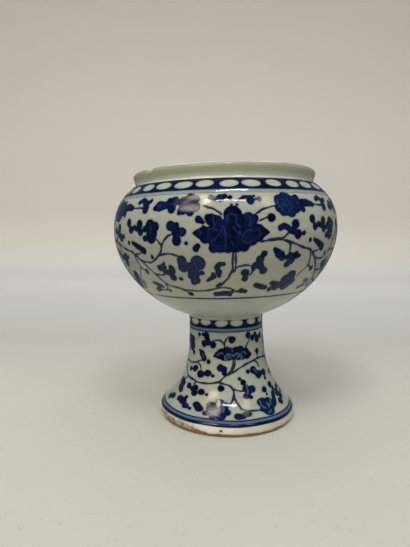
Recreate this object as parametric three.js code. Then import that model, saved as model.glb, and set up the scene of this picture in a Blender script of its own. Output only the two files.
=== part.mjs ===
// Footed porcelain bowl: a thrown bowl with a drawn-in mouth, luted with slip
// onto a hollow, flared pedestal foot. Millimetres, +Z up, origin on the
// table under the axis.
import * as THREE from 'three';

// Bowl
const bellyRadius = 68.3;
const bellyRise = 51.2;        // from the flat underside up to the widest ring
const baseOverhang = 1.2;      // how far the flat underside passes the stem's edge
const shoulderRise = 26.4;     // from the widest ring up to the foot of the collar
const collarRadius = 54.3;
const collarFillet = 1.3;
const collarRise = 7.4;        // from the foot of the collar to the top of the lip
const lipBead = 2.1;           // half the thickness of the rounded lip
const lipOverhang = 0.7;       // how far the lip stands out past the collar
const bowlWall = 3.6;
const bowlFloor = 5;
const lowerFullness = 1.89;    // superellipse exponents, 2 is a true ellipse
const upperFullness = 2.42;
const insideFullness = 2.15;

// Foot
const footHeight = 63.4;
const footRingRadius = 42.2;
const footRingRise = 6.5;      // upright band of the hem
const footRingBevel = 2.6;     // height of the bevel under the hem
const footContactInset = 1.4;  // the ring touches the table this far inside the hem
const footContactWidth = 2.8;
const hemRounding = 1.7;       // radius of the edge between the hem and the flare
const hemTurn = 0.95;          // radians that this edge turns through
const waistRadius = 23.08;
const stemLipFlare = 0.32;     // how far the top of the stem stands out past the waist
const stemLipRise = 2.5;       // the stem opens from its waist to its top over this
const footWall = 3.5;
const flareReach = 73.7;       // height over which the flare dies out
const flarePower = 4.6;
const footRingInset = 0.7;     // how far the inside of the foot ring leans in

// Ring of slip between them
const slipThickness = 1;
const slipInset = 0.4;         // the slip stays this far inside the stem's edge
const slipBulge = 0.25;        // how far its sides swell out
const jointGap = 0.3;

const turnSegments = 72;

const stemTopRadius = waistRadius + stemLipFlare;
const bowlBaseRadius = stemTopRadius + baseOverhang;
const footContactRadius = footRingRadius - footContactInset;
const bowlBase = footHeight + slipThickness + 2 * jointGap;
const bellyLevel = bowlBase + bellyRise;
const collarLevel = bellyLevel + shoulderRise;
const lipTop = collarLevel + collarRise;

function point(radius, height) {
  return new THREE.Vector2(radius, height);
}

// Height of the full superellipse quarter that passes through one edge point.
function quarterHeight(widest, edgeRadius, edgeDistance, fullness) {
  return edgeDistance / (1 - (edgeRadius / widest) ** fullness) ** (1 / fullness);
}

// Points on a superellipse quarter, evenly turned between two edge radii.
function quarterPoints({ widest, height, fullness, centre, from, to, steps, side }) {
  const start = Math.acos((from / widest) ** (fullness / 2));
  const end = Math.acos((to / widest) ** (fullness / 2));
  return Array.from({ length: steps + 1 }, (_, i) => {
    const turn = start + (end - start) * i / steps;
    const radius = widest * Math.cos(turn) ** (2 / fullness);
    const distance = height * Math.sin(turn) ** (2 / fullness);
    return point(radius, centre + side * distance);
  });
}

function arcPoints(centre, radius, fromAngle, toAngle, steps) {
  return Array.from({ length: steps + 1 }, (_, i) => {
    const angle = fromAngle + (toAngle - fromAngle) * i / steps;
    return point(centre.x + radius * Math.cos(angle), centre.y + radius * Math.sin(angle));
  });
}

function turned(name, profile, colour, roughness) {
  const geometry = new THREE.LatheGeometry(profile, turnSegments);
  geometry.rotateX(Math.PI / 2);
  const material = new THREE.MeshStandardMaterial({ color: colour, roughness, metalness: 0 });
  const mesh = new THREE.Mesh(geometry, material);
  mesh.name = name;
  return mesh;
}

function bowlProfile() {
  const lowerHeight = quarterHeight(bellyRadius, bowlBaseRadius, bellyRise, lowerFullness);
  const filletCentre = point(collarRadius + collarFillet, collarLevel + collarFillet);
  const upperHeight = quarterHeight(bellyRadius, filletCentre.x, shoulderRise, upperFullness);
  const lipCentre = point(collarRadius + lipOverhang - lipBead, lipTop - lipBead);
  const insideRadius = bellyRadius - bowlWall;
  const mouthRadius = lipCentre.x - lipBead;
  const insideRise = shoulderRise - bowlWall / 2;
  const insideUpper = quarterHeight(insideRadius, mouthRadius, insideRise, upperFullness);
  const lipUnder = -Math.acos(1 - lipOverhang / lipBead);
  return [
    point(0, bowlBase),
    ...quarterPoints({
      widest: bellyRadius, height: lowerHeight, fullness: lowerFullness,
      centre: bellyLevel, from: bowlBaseRadius, to: bellyRadius, steps: 12, side: -1,
    }),
    ...quarterPoints({
      widest: bellyRadius, height: upperHeight, fullness: upperFullness,
      centre: bellyLevel, from: bellyRadius, to: filletCentre.x, steps: 8, side: 1,
    }).slice(1),
    ...arcPoints(filletCentre, collarFillet, 1.5 * Math.PI, Math.PI, 3).slice(1),
    ...arcPoints(lipCentre, lipBead, lipUnder, Math.PI, 9),
    ...quarterPoints({
      widest: insideRadius, height: insideUpper, fullness: upperFullness,
      centre: bellyLevel, from: mouthRadius, to: insideRadius, steps: 6, side: 1,
    }),
    ...quarterPoints({
      widest: insideRadius, height: bellyRise - bowlFloor, fullness: insideFullness,
      centre: bellyLevel, from: insideRadius, to: 0, steps: 10, side: -1,
    }).slice(1, -1),
    point(0, bowlBase + bowlFloor),
  ];
}

// Radius of the pedestal's flare, largest where it leaves the hem.
function flareRadius(rise, flareStart) {
  const share = Math.max(1 - rise / flareReach, 0);
  return waistRadius + (flareStart - waistRadius) * share ** flarePower;
}

function footProfile() {
  const hemCentre = point(footRingRadius - hemRounding, footRingRise);
  const hem = arcPoints(hemCentre, hemRounding, 0, hemTurn, 3);
  const flareFoot = hem[hem.length - 1];
  const flareHeight = footHeight - stemLipRise - flareFoot.y;
  const steps = 14;
  const flare = Array.from({ length: steps + 1 }, (_, i) => {
    const rise = flareHeight * i / steps;
    return point(flareRadius(rise, flareFoot.x), flareFoot.y + rise);
  });
  const curve = new THREE.SplineCurve(flare);
  const inside = Array.from({ length: steps }, (_, i) => {
    const share = 1 - i / steps;
    const along = curve.getTangent(share);
    const outer = curve.getPoint(share);
    return point(outer.x - along.y * footWall, outer.y + along.x * footWall);
  });
  const contactInside = footContactRadius - footContactWidth;
  return [
    point(contactInside, 0),
    point(footContactRadius, 0),
    point(footRingRadius, footRingBevel),
    ...hem,
    ...flare.slice(1),
    point(stemTopRadius, footHeight),
    point(stemTopRadius - footWall, footHeight),
    ...inside,
    point(contactInside - footRingInset, footRingBevel),
    point(contactInside, 0),
  ];
}

function slipProfile() {
  const bottom = footHeight + jointGap;
  const outer = stemTopRadius - slipInset;
  const inner = stemTopRadius - footWall + slipBulge;
  return [
    point(inner, bottom),
    point(outer, bottom),
    point(outer + slipBulge, bottom + slipThickness / 2),
    point(outer, bottom + slipThickness),
    point(inner, bottom + slipThickness),
    point(inner - slipBulge, bottom + slipThickness / 2),
    point(inner, bottom),
  ];
}

const footedBowl = new THREE.Group();
footedBowl.add(turned('bowl', bowlProfile(), 0xdfe3dc, 0.15));
footedBowl.add(turned('luting_slip', slipProfile(), 0xd8dad2, 0.5));
footedBowl.add(turned('foot', footProfile(), 0xdfe3dc, 0.15));

export default footedBowl;
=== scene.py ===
import math
from functools import reduce

import bpy
import numpy as np
from mathutils import Matrix, Vector


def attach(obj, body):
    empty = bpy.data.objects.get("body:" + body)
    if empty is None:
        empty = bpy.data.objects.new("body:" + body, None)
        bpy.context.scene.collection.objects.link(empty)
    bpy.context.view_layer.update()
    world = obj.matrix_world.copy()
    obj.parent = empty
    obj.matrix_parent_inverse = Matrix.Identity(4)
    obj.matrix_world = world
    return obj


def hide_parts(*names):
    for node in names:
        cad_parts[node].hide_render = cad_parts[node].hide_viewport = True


bl_info = {
    "name": "Footed Porcelain Bowl",
    "version": (1, 0, 0),
    "blender": (4, 5, 0),
    "location": "View3D > Sidebar > Footed Bowl",
    "description": "Builds a blue and white footed bowl and the studio around it",
    "category": "Add Mesh",
}

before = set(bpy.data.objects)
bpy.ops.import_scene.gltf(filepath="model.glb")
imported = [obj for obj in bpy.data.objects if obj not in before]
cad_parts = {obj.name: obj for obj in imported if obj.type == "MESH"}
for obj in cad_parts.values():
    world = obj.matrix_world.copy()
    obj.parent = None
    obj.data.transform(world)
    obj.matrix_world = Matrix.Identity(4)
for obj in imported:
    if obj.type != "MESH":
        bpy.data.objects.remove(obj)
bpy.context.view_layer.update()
MM = 0.001
FULL_TURN = 2 * math.pi

# Proportions of the turned forms that stay fixed, in mm unless a comment says otherwise
LOWER_FULLNESS = 1.89       # superellipse exponents, 2 is a true ellipse
UPPER_FULLNESS = 2.42
INSIDE_FULLNESS = 2.15
COLLAR_FILLET = 1.6
LIP_BEAD = 2.1              # half the thickness of the rounded lip
LIP_INSET = 0.9             # how far inside the collar's radius the middle of the lip lies
LIP_UNDERSIDE = -0.44       # radians on the lip's rounding at which the collar meets it
BOWL_FLOOR = 5
HEM_RISE = 6.5              # top of the hem's upright band
HEM_BEVEL = 2.6             # height of the bevel under the hem
HEM_ROUNDING = 1.7
HEM_TURN = 0.95             # radians that the hem's rounded edge turns through
CONTACT_INSET = 1.4         # the foot meets the table this far inside the hem
CONTACT_WIDTH = 2.8
RING_INSET = 0.7            # how far the inside of the foot ring leans in
STEM_RISE = 2.5             # the stem opens from its waist to its top over this
STEM_FLARE = 0.32           # how far the top of the stem stands out past the waist
FLARE_REACH = 73.7          # height over which the flare dies out
FLARE_POWER = 4.6
SLIP_LAP = 0.03             # how far the slip runs into the bowl and the foot
SLIP_INSET, SLIP_SPREAD = 0.12, 0.9     # inside the stem at its foot, and outwards from there
LEAN_START = 6              # height at which the lean starts, and the rise over which it
LEAN_RISE = 22              # grows to its full angle

# Fixed colours of the glaze and the clay, beside those that a user may change. Some of them are
# also painted light and shade: a highlight, an olive shade and a warm glow.
# White of the thin glaze at the hem, also painted as a highlight ring at the foot of the collar
WHITE_GLAZE_AND_HIGHLIGHT = (0.85, 0.84, 0.71)
# Painted shade on the collar and lip, in an olive tone
OLIVE_SHADE = (0.30, 0.29, 0.205)
IRON_SPECK = (0.10, 0.06, 0.03)
# Rusty blush where the glaze ends, which is also a painted warm glow of light bounced off the
# bare clay
RUST_BLUSH_AND_GLOW = (0.55, 0.42, 0.25)
DARK_STAIN = (0.11, 0.09, 0.045)
BUFF_CLAY = (0.50, 0.44, 0.31)
BLACK_SPECK = (0.07, 0.055, 0.035)
BURNT_EDGE = (0.045, 0.035, 0.018)
BROKEN_CLAY = (0.47, 0.44, 0.35), (0.30, 0.26, 0.18)
SLIP_PIT = (0.08, 0.06, 0.04)
SWELL_DEPTH = 0.00006       # metres from trough to crest of the swells in the glaze

# Wear, as the photo shows it. A turn is in radians from the front, a share is the same in
# turns from the back, and distances are in mm.
NICK_TURN, NICK_SHARE = -0.864, 0.3625
NICK_HALF, NICK_DEPTH = 2.6, 0.75       # half width, and how far down it reaches
NICK_INSET = 0.010          # how far inwards it reaches, as a share of the radius
LIP_RADIUS, LIP_ROUND = 54, 340.0       # the lip's radius, and the way round it
WORN_SHARE, PIT_SHARE = 0.355, 0.481
CHIP_RADIUS = 42            # distance from the axis at which a chip's width is measured
# Each chip in the foot ring: turn, distance along the outline, half width and depth
FOOT_CHIPS = ((-0.98, 5.6, 2.2, 0.55), (-0.80, 4.4, 1.6, 0.5), (-0.66, 4.9, 1.2, 0.35),
              (-0.12, 6.2, 0.6, 0.25), (1.9, 4.6, 1.5, 0.4))


class BowlForm(bpy.types.PropertyGroup):
    """Sizes of the turned forms, in millimetres. They are the CAD part's, but the lip stands a
    little higher, as in the photo."""
    belly_radius: bpy.props.FloatProperty(
        name="Belly radius", description="Radius of the widest ring, mm", default=68.3, min=10)
    belly_level: bpy.props.FloatProperty(
        name="Belly level", description="Height of the widest ring, mm", default=116.2, min=10)
    base_radius: bpy.props.FloatProperty(
        name="Base radius", description="Radius of the bowl's flat underside, mm", default=24.6)
    bowl_base: bpy.props.FloatProperty(
        name="Bowl base", description="Height of the bowl's flat underside, mm", default=65.0)
    collar_level: bpy.props.FloatProperty(
        name="Collar level", description="Height of the foot of the collar, mm", default=142.6)
    collar_radius: bpy.props.FloatProperty(
        name="Collar radius", description="Outer radius of the collar, mm", default=54.3)
    lip_top: bpy.props.FloatProperty(
        name="Lip top", description="Height of the top of the lip, mm", default=150.8)
    wall: bpy.props.FloatProperty(
        name="Wall", description="Thickness of the bowl's wall, mm", default=3.6, min=1)
    foot_height: bpy.props.FloatProperty(
        name="Foot height", description="Height of the pedestal foot, mm", default=63.4)
    foot_radius: bpy.props.FloatProperty(
        name="Foot radius", description="Radius of the foot's upright hem, mm", default=42.2)
    waist_radius: bpy.props.FloatProperty(
        name="Waist radius", description="Radius of the narrowest part of the stem, mm",
        default=23.08)
    foot_wall: bpy.props.FloatProperty(
        name="Foot wall", description="Thickness of the foot's wall, mm", default=3.5, min=1)
    lean: bpy.props.FloatProperty(
        name="Lean", description="How far the body leans over its foot", subtype="ANGLE",
        default=math.radians(1.95))


class BowlGlaze(bpy.types.PropertyGroup):
    """Colours of the glaze, the cobalt and the bare clay, and the painted shade and painted light
    laid on the glaze.
    """
    glaze: bpy.props.FloatVectorProperty(
        name="Glaze", description="Colour of the bare glaze",
        subtype="COLOR", default=(0.440, 0.457, 0.370), min=0, max=1)
    glaze_pool: bpy.props.FloatVectorProperty(
        name="Pooled glaze", description="Colour of the glaze where it lies thick",
        subtype="COLOR", default=(0.25, 0.32, 0.32), min=0, max=1)
    # Painted shade: a darker glaze tone laid round the middle of the bowl, where the light from
    # above falls off
    glaze_painted_shade: bpy.props.FloatVectorProperty(
        name="Dull glaze", description="Colour of the glaze round the middle of the bowl",
        subtype="COLOR", default=(0.24, 0.247, 0.196), min=0, max=1)
    # Painted light: a lighter, cooler glaze tone laid under the bowl, where it faces down
    glaze_painted_light: bpy.props.FloatVectorProperty(
        name="Clear glaze", description="Colour of the glaze under the bowl",
        subtype="COLOR", default=(0.43, 0.475, 0.425), min=0, max=1)
    cobalt_dark: bpy.props.FloatVectorProperty(
        name="Dark cobalt", description="Colour of the outlines and the heaped cobalt",
        subtype="COLOR", default=(0.0003, 0.0019, 0.023), min=0, max=1)
    cobalt_wash: bpy.props.FloatVectorProperty(
        name="Cobalt wash", description="Colour of the thinner washes",
        subtype="COLOR", default=(0.004, 0.023, 0.108), min=0, max=1)
    cobalt_pale: bpy.props.FloatVectorProperty(
        name="Pale cobalt", description="Colour of veins and of the faint bands",
        subtype="COLOR", default=(0.072, 0.132, 0.24), min=0, max=1)
    clay: bpy.props.FloatVectorProperty(
        name="Bare clay", description="Colour of the unglazed foot ring",
        subtype="COLOR", default=(0.29, 0.20, 0.115), min=0, max=1)


# The painting on the belly, as a maker would set it out: x is the distance round
# the belly from its front, s the distance up from the lower line, both in mm.
# A vine is its half width and a chain of (x, s). A leaf is its tone and its brush
# strokes, and a stroke is a chain of (x, s, radius).
BELLY_REACH = 68.0      # mm of x for each radian
BELLY_REPEATS = (2, 3, 1, 0)    # the order in which the repeats are painted, the front last
BELLY_VINES = (
    (0.54, -60, 30.6, -57.4, 28.4, -54, 25.4, -51, 22.4, -48, 19.2, -45, 15.6, -42.6, 12.4,
     -40.4, 10.4, -36, 9, -30, 7.5, -24, 6.6, -18, 6.5, -12, 7.4, -7.4, 9.4, -3.4, 12.8,
     -0.4, 16.8, 1, 21, 1.3, 26, 1, 31),
    (0.42, 2.4, 19.5, 2.9, 25, 2.6, 30),
    (0.54, 15, 35.2, 19, 35.6, 24, 36, 29, 35.4, 35, 33.5, 40, 31.8, 44, 30.8, 47.2, 30.2),
    (0.46, -60, 30.4, -58.8, 27.4, -58, 24, -56.8, 21, -53.6, 19.2),
    (0.36, -57.4, 22.4, -58.8, 19.6, -61.4, 17.4, -63.4, 14.4),
    (0.46, -54.6, 25.8, -50, 24.7, -46, 24.7, -43, 25.8, -40.4, 27.8, -37.4, 29, -33, 29.6,
     -29, 29, -25.6, 27.4, -24, 25.6),
    (0.46, -40.5, 27.6, -37.5, 30.5, -36.5, 33, -37, 35, -39, 37.5),
    (0.46, -36.6, 32.5, -35, 35.5, -32, 38.6, -28.5, 39.8),
    (0.46, -47, 18, -42, 17, -38, 18),
    (0.46, -42, 11, -42.5, 8, -45, 6, -50, 6.5),
    (0.46, -33, 8, -29, 6, -26.5, 4.5),
    (0.46, -14, 7.2, -9, 8.3, -4, 9, 0, 8.5, 3, 7),
    (0.46, 1.4, 19, 4, 22, 8, 23, 12, 22.4),
    (0.46, 11, 22.4, 12, 19, 9.5, 16),
    (0.46, -4.5, 12, -7, 11),
    (0.46, 28, 35.4, 31.4, 33.5, 32, 29),
    (0.46, 19, 36.2, 25, 36.6, 29, 38, 30.6, 40.6),
    (0.46, 14.5, 45.3, 18, 46.8, 20, 46.8),
    (0.46, 12.4, 48.6, 18, 51.5, 25, 52.8),
    (0.46, -4, 48.6, -8, 51.5, -13, 53.2),
    (0.36, 45.6, 30, 49, 29.2, 53, 29.3, 55.4, 30.2),
    (0.5, 44, 54, 50, 53.8, 56, 53.6, 60, 52.8),
)
BELLY_LEAVES = (
    # the peony in the middle, from its back petals to its heart
    (0.95, (1.4, 38.4, 7), (-6, 38.6, 6), (8.6, 39, 6)),
    (0.95, (-18, 40, 0.6, -13.4, 39.6, 3.9), (-11, 47.5, 1.5), (-8.6, 46.1, 3.1), (-5.8, 46.4, 2),
     (-12, 37.4, 2.8), (-8.4, 32.4, 2.4), (-5, 33.2, 3.4), (-1, 32.7, 3), (2.8, 33, 3.2),
     (6.8, 33.2, 2.9), (11, 35.7, 2.4), (19.1, 39.6, 0.6, 15, 39.8, 3.8), (12.6, 41.8, 2.4),
     (14.2, 37.2, 2.2), (11.6, 46.3, 2.3), (8.6, 46.7, 2.9), (1.4, 48.3, 4.6),
     (0.9, 53.5, 0.7), (3.6, 53.4, 0.7)),
    (0.92, (-6.5, 38, 4.2), (8.2, 38.6, 4.2), (-3.6, 42.6, 3.8), (5.6, 43, 3.6),
     (1, 37.4, 4.6), (1.3, 45.4, 3.4), (1, 41.4, 3.2)),
    # the peony at the upper right
    (0.75, (38, 53.2, 3.2), (37.3, 57.2, 1.9, 34.5, 56.6, 1.6), (40.3, 51, 1.8),
     (41, 54.5, 2.2, 44, 54.6, 2.2, 48.6, 53.8, 1.3), (36, 50.8, 1.8)),
    (0.55, (30, 56.8, 3.6), (26.6, 55.3, 3.6), (25.6, 51.8, 2.6), (28, 50.4, 3.1),
     (32.4, 50, 3.2), (33.6, 54, 3.4), (31.8, 57.2, 2.6)),
    (0.45, (28, 53.8, 2.3), (31.2, 53.2, 2.2), (29.6, 51.8, 1.9)),
    # the peony at the upper left
    (0.8, (-37.2, 54, 2.9, -33.4, 54.2, 2), (-40, 53, 1.6), (-28.8, 56.2, 2.7),
     (-29.8, 52.2, 2.4), (-31.6, 56.8, 1.6)),
    (0.7, (-20, 57.6, 2.7), (-17, 57, 2.1), (-23.4, 55.4, 3.1), (-24, 51.2, 2.4),
     (-19.6, 50.4, 2.3), (-16.7, 52.8, 2.3)),
    (0.5, (-19.6, 54, 2.6), (-22, 53, 2.2)),
    (1, (-22.2, 53.8, 0.6, -19.6, 54, 1.1, -16.8, 54.8, 0.9)),
    (0.95, (-25.6, 50.2, 0.9, -25.8, 49.2, 0.6)),
    # buds and curled leaves close to the middle peony
    (1, (-15.2, 46.5, 1.9, -13, 44.8, 0.9)), (1, (-17.2, 32.2, 1.7, -16, 33.6, 1.3)),
    (1, (20.7, 46.7, 2.2)),
    (0.9, (-9.4, 57.5, 1.5), (-4.6, 57.2, 2.2), (-2.4, 58.2, 1.4), (0.3, 57.4, 1.2),
     (-7, 56.8, 1.2)),
    (0.75, (4.4, 55.6, 0.6, 7, 57.4, 0.9, 11, 57.6, 0.9), (10.6, 55.4, 2), (12.6, 58, 0.7),
     (15.2, 56.4, 1.3), (13.4, 56.4, 0.8)),
    (0.9, (25.4, 41.6, 1.5, 27.4, 42.6, 1.7, 29.6, 41.8, 1.5, 31.4, 40.2, 1.7),
     (34.4, 43.6, 2.4), (33.2, 40.2, 2), (36.2, 38.4, 2.5), (40, 39, 1.3)),
    (0.85, (-26.5, 43, 1.3), (-30, 43.6, 2.6), (-26.6, 44.4, 1.2), (-23.8, 40.6, 2.3),
     (-27, 40.2, 2.6), (-27, 36.2, 2.5)), (1, (-22, 35, 1.1)),
    (0.95, (-58.2, 42.2, 2.1), (-55, 43.4, 1.6), (-50.5, 45, 2.4), (-50, 41, 2.1),
     (-53, 42.6, 1.4), (-46.4, 42.4, 1.8), (-42.6, 44, 3.4), (-39.4, 43.6, 2.6),
     (-42.4, 38.6, 3.6), (-46.8, 37.6, 1.7), (-40.6, 40, 2.4)),
    (1, (46.5, 46, 2.3)),
    (0.9, (-58, 35.4, 1.1, -55, 34, 1.6, -52, 32.6, 1.7, -49.4, 31.2, 2.2)),
    (1, (-44, 28.6, 0.7, -43.9, 27.6, 1.2)), (1, (-53, 18.8, 1.7)),
    (0.85, (-53.4, 56.8, 1.4, -50.8, 58.3, 1.3, -48.2, 56.6, 1.7, -47, 53.4, 2.2),
     (-47.2, 52.6, 2.3), (-44.2, 57.2, 1.4), (-46, 56, 1.5)),
    # the trefoil, and the leaves on the lower half
    (0.72, (-25.6, 26, 2.7, -25.7, 22, 2.8), (-22.4, 22.6, 2.4), (-17, 24.6, 4.1),
     (-20.2, 18.6, 3.6), (-15.4, 18.8, 1.4), (-22.6, 16.6, 1.6), (-20, 14.6, 2.9),
     (-21.6, 12.6, 1.8)),
    (0.9, (-41, 21.4, 1.9), (-38, 22.4, 1.9), (-37, 24.4, 0.9), (-33, 21.6, 1.9, -33, 20, 2.1),
     (-36, 18.8, 2), (-38.6, 19.2, 1.4), (-33.8, 15.8, 2.4)), (1, (-29, 15, 1.3)),
    (0.95, (-3.6, 24, 1.2, -5.6, 23.8, 1.4, -7, 22, 1.7), (-6.2, 19.4, 1.9),
     (-9, 16.8, 1.5, -12.8, 14, 0.8), (-6, 16.8, 1.1), (-9.4, 18.2, 1)),
    (0.95, (-8, 10.2, 0.6, -5.8, 12, 0.9)), (0.9, (-26.4, 3.9, 1.9)),
    (0.95, (8.2, 18.6, 2.3), (8.4, 15, 1.9), (12.6, 20.6, 1.3)),
    (0.95, (17.4, 29, 1.7), (15.6, 26, 2.3), (13.4, 22.8, 2), (16, 23, 2),
     (18.4, 19.6, 2.2), (16.6, 21.6, 1.8)),
    (0.9, (23, 31.2, 1.1, 25.6, 28.8, 2.2, 28.4, 26.4, 1.9), (27.4, 28.2, 1.9),
     (33, 27, 2.3), (36.6, 28, 1.8), (39.8, 27.2, 0.8, 37.6, 27, 1.4), (34.8, 24.6, 2),
     (32.2, 22.8, 2.1), (30.8, 26.6, 1.3)),
    (0.85, (16, 10.2, 1.7, 20, 8.6, 1.9, 22.6, 8, 1.6), (26, 11.4, 1.2, 29, 9.8, 2.4),
     (26.6, 6.6, 1.9), (33.2, 9.4, 3), (34.4, 13.6, 2.6), (38.2, 15, 3.7),
     (37.4, 9, 3.9), (41.2, 11, 2.6), (30.6, 7.4, 2.2)),
    (0.9, (-9, 4, 1.7, -5, 4.4, 1.9, -1, 4.6, 2), (1.8, 6, 1.4), (0.4, 3.4, 1.4),
     (7.4, 6.4, 2), (10, 5.8, 1.5), (4.6, 6, 1)),
    (0.8, (-52.4, 11, 1.2, -49, 10, 1.8, -46.6, 8.8, 1.5), (-50.4, 6.8, 1.9),
     (-54, 5.4, 1.5), (-52, 6, 1.6)), (1, (-41.8, 6, 1.2)),
    (1, (45.2, 35.3, 1.2)),
)

# Veins and the gaps between petals, in pale blue: half width and a chain of (x, s).
BELLY_VEINS = (
    (0.4, -1.4, 45.4, -1.2, 47.6, 0.6, 49, 2.6, 48.2, 3.3, 46.2, 2.6, 44.4),
    (0.34, 2.9, 45, 3.6, 43.2, 5, 42.2),
    (0.34, 6, 48.8, 8.6, 48.2, 10.2, 46.4, 9.8, 44.2, 8.8, 43),
    (0.34, -9.6, 35.8, -7.4, 37, -5.4, 39, -4.2, 41.4),
    (0.34, -3, 43, -2.4, 39, -2, 35, -2.6, 31.6),
    (0.34, 1.6, 42.4, 2.8, 40.6, 4.8, 39.2), (0.3, -15.6, 41.8, -14.2, 40.2, -14.8, 38.4),
    (0.34, -7.8, 48, -8.3, 45.6, -7.2, 43.8), (0.3, 6, 38, 7.4, 40.4, 9.4, 41.2, 11, 40.2),
    (0.34, 5.6, 36.4, 7.6, 35, 10, 35), (0.3, -10.4, 41.6, -8.2, 42, -6, 41),
    (0.3, 0.4, 35.6, 2, 33.6),
    (0.3, 13.2, 41.4, 14.8, 39.6, 14.2, 37.8),
    (0.5, 25.2, 56.6, 24.8, 54, 26, 51.8, 28, 50.2), (0.42, 27.4, 55.8, 29, 55.4, 29.8, 54),
    (0.36, 31.4, 55.4, 33, 53.8, 32.8, 51.6), (0.36, 27, 53.4, 29.4, 52.6, 31, 53.2),
    (0.36, 30.6, 50.8, 31.4, 49.4), (0.36, 36.6, 55.2, 38.4, 53.4), (0.5, -38.6, 54.4, -36.4, 54),
    (0.34, -31.6, 55.4, -30, 54.2, -28, 54.8), (0.34, -25.4, 54, -23.6, 55.6, -21.4, 55.8),
    (0.34, -24.6, 57.4, -21, 58.2, -17.4, 57.6), (0.34, -24.8, 52, -21, 51.2, -17, 51.4),
    (0.34, -23.6, 25.4, -22.6, 23.4, -23.2, 21.4), (0.3, -19.6, 25.6, -18, 23, -18.4, 20.8),
    (0.3, -20.8, 17.6, -20.2, 15, -21, 12.8), (0.3, -43.4, 45.4, -42, 43, -42.6, 40.6),
    (0.3, 36.4, 15.4, 37.4, 12.6, 36.6, 9.6), (0.3, 31.4, 9.8, 34, 10.8),
    (0.3, 33, 27.4, 35, 26.8),
)

# The painting on the foot: x is the distance round at a radius of 25 mm, s the
# distance up the foot from the table.
FOOT_REACH = 25.0
FOOT_REPEATS = (1, 0)
FOOT_VINES = (
    (0.50, -39, 39, -32, 36, -27, 33, -20, 31.4, -15, 31, -10, 31.5, -6, 32.5, -3, 35, 0, 38),
    (0.42, 3, 45.5, 2.5, 42, 1.5, 39.5, -1, 36.6), (0.40, 4.6, 45.5, 3.4, 41.5, 1.6, 38),
    (0.50, -1, 36.4, 4, 39, 9, 41.5, 14, 43, 20, 44.2, 25, 44, 30, 43, 39.5, 39),
    (0.42, 15, 43.4, 18.6, 42.6, 21, 39),
    (0.46, -6, 32.5, -2, 31.5, 1, 30, 2.2, 27, 2, 23.5, 0, 20), (0.40, 2.1, 28.6, 5, 27.4, 8, 27),
    (0.44, 2.1, 24.5, 4.5, 18, 6, 16.5, 9, 15.5, 13.5, 15),
    (0.42, -39, 38, -32, 41, -25, 41.5, -20, 43, -16, 45), (0.40, -21, 42.6, -18, 41, -17, 38.6),
    (0.46, -9, 57, -5, 57, -2.5, 55, -1.5, 57, 0.6, 59, 2.6, 58.6), (0.46, -2.2, 52, -2.2, 56),
    (0.42, 15, 57, 13, 54, 11.5, 52), (0.40, -19, 31, -20, 29), (0.40, 21, 48, 20.4, 44.4),
    (0.40, -4.6, 31, -4.2, 29), (0.42, -32.6, 36, -34.5, 41, -32, 49),
    (0.40, -26.4, 48.6, -27.5, 51),
    (0.42, 27, 43.8, 31, 47, 33, 51), (0.40, 30, 43, 32, 38, 33, 34),
    (0.40, -27, 33, -30, 29),
)
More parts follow.
